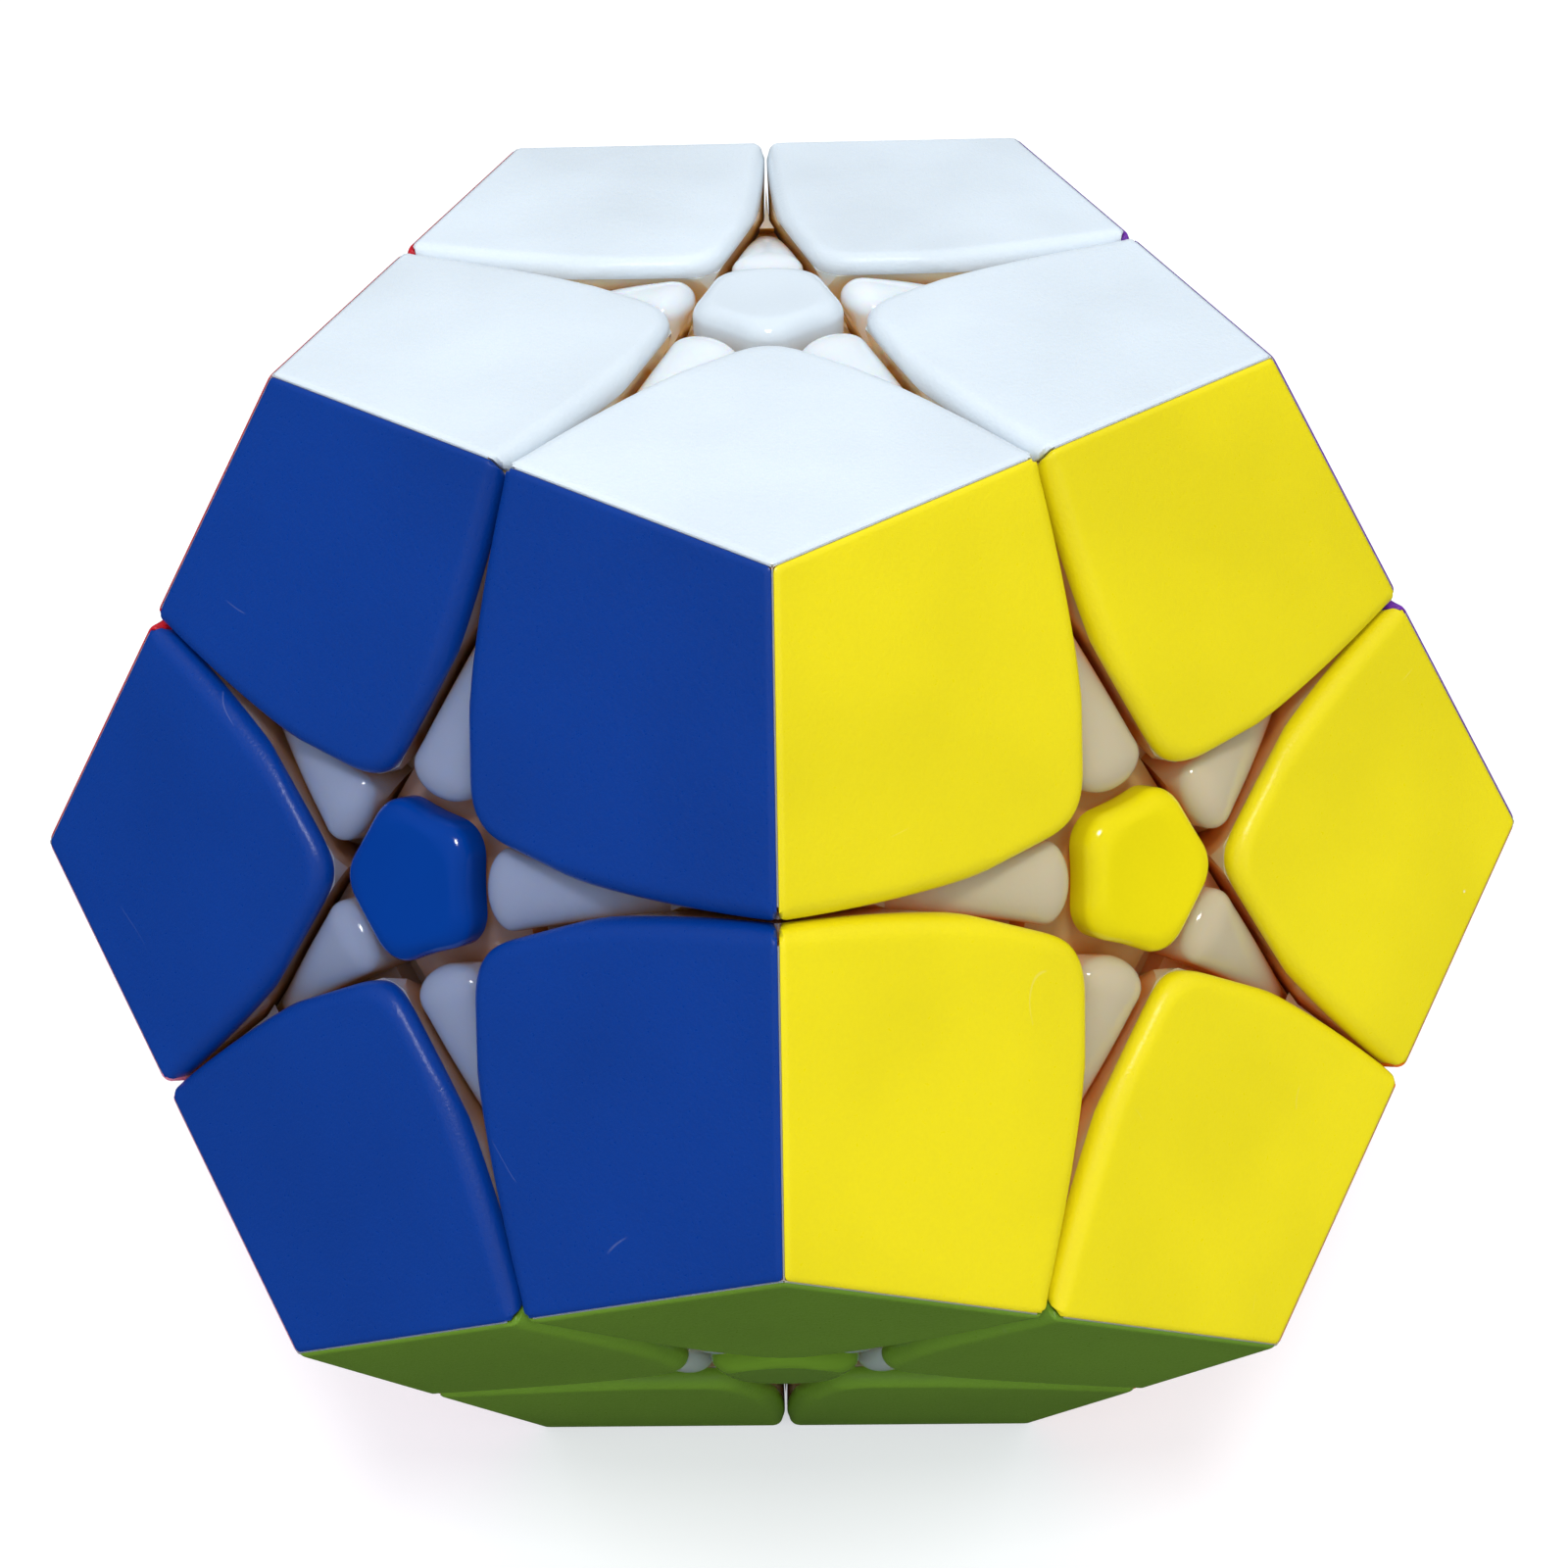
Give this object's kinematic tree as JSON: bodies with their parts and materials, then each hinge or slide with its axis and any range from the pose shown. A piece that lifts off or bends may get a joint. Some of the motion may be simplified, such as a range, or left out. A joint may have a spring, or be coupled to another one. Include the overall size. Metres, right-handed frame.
{
  "type": "dodecahedron twisty puzzle",
  "caption": "Dodecahedral twisty puzzle whose coloured corner pieces, slim white edge pieces and small raised centre caps turn in layers about the faces.",
  "frame": {"origin": "centre of the core, which is the centre of the bounding box", "axes": "+Z out through the middle of the white face, -Y towards the edge between the blue and the yellow face, +X towards the purple side"},
  "size_m": [0.0764, 0.0804, 0.065],
  "materials": {
    "plastic_white": "fine frosted moulding grain, soft sheen",
    "plastic_blue": "fine frosted moulding grain, soft sheen",
    "plastic_yellow": "fine frosted moulding grain, soft sheen",
    "plastic_purple": "fine frosted moulding grain, soft sheen",
    "plastic_green": "fine frosted moulding grain, soft sheen",
    "plastic_red": "fine frosted moulding grain, soft sheen",
    "plastic_lime": "fine frosted moulding grain, soft sheen",
    "plastic_orange": "fine frosted moulding grain, soft sheen",
    "plastic_sky": "fine frosted moulding grain, soft sheen",
    "plastic_cream": "fine frosted moulding grain, soft sheen",
    "plastic_pink": "fine frosted moulding grain, soft sheen",
    "plastic_grey": "fine frosted moulding grain, soft sheen",
    "plastic_body": "milky white, satin",
    "plastic_core": "satin",
    "steel": "plain bright steel"
  },
  "bodies": {
    "core": {"core_with_fixed_centres": "plastic_core", "corner_blue_red_pink": "plastic_blue", "corner_orange_grey_sky": "plastic_orange", "corner_purple_orange_sky": "plastic_purple", "corner_purple_sky_green": "plastic_purple", "corner_yellow_orange_purple": "plastic_yellow", "edge_blue_pink": "plastic_body", "edge_blue_red": "plastic_body", "edge_blue_yellow": "plastic_body", "edge_green_red": "plastic_body", "edge_green_sky": "plastic_body", "edge_orange_grey": "plastic_body", "edge_orange_sky": "plastic_body", "edge_pink_grey": "plastic_body", "edge_purple_green": "plastic_body", "edge_purple_orange": "plastic_body", "edge_purple_sky": "plastic_body", "edge_red_pink": "plastic_body", "edge_sky_grey": "plastic_body", "edge_yellow_orange": "plastic_body", "edge_yellow_purple": "plastic_body", "screw_white": "steel", "screw_lime": "steel", "screw_cream": "steel"},
    "white_layer": {"corner_white_blue_yellow": "plastic_white", "corner_white_green_red": "plastic_white", "corner_white_purple_green": "plastic_white", "corner_white_red_blue": "plastic_white", "corner_white_yellow_purple": "plastic_white", "edge_white_blue": "plastic_body", "edge_white_green": "plastic_body", "edge_white_purple": "plastic_body", "edge_white_red": "plastic_body", "edge_white_yellow": "plastic_body", "centre_white": "plastic_white", "spring_white": "steel"},
    "lime_layer": {"corner_blue_lime_yellow": "plastic_blue", "corner_blue_pink_lime": "plastic_blue", "corner_lime_grey_orange": "plastic_lime", "corner_lime_pink_grey": "plastic_grey", "corner_yellow_lime_orange": "plastic_yellow", "edge_blue_lime": "plastic_body", "edge_lime_grey": "plastic_body", "edge_lime_orange": "plastic_body", "edge_lime_pink": "plastic_body", "edge_yellow_lime": "plastic_body", "centre_lime": "plastic_lime", "spring_lime": "steel"},
    "cream_layer": {"corner_cream_grey_pink": "plastic_pink", "corner_green_cream_red": "plastic_green", "corner_green_sky_cream": "plastic_green", "corner_red_cream_pink": "plastic_red", "corner_sky_grey_cream": "plastic_sky", "edge_cream_grey": "plastic_body", "edge_cream_pink": "plastic_body", "edge_green_cream": "plastic_body", "edge_red_cream": "plastic_body", "edge_sky_cream": "plastic_body", "centre_cream": "plastic_cream", "spring_cream": "steel"}
  },
  "joints": [
    {"name": "white_turn", "type": "hinge", "parent": "core", "child": "white_layer", "pos_m": [0, 0, 0], "axis": [0, 0, 1], "continuous": true},
    {"name": "lime_turn", "type": "hinge", "parent": "core", "child": "lime_layer", "pos_m": [0, 0, 0], "axis": [0, -0.8944, -0.4472], "continuous": true},
    {"name": "cream_turn", "type": "hinge", "parent": "core", "child": "cream_layer", "pos_m": [0, 0, 0], "axis": [-0.5257, 0.7236, -0.4472], "continuous": true}
  ]
}
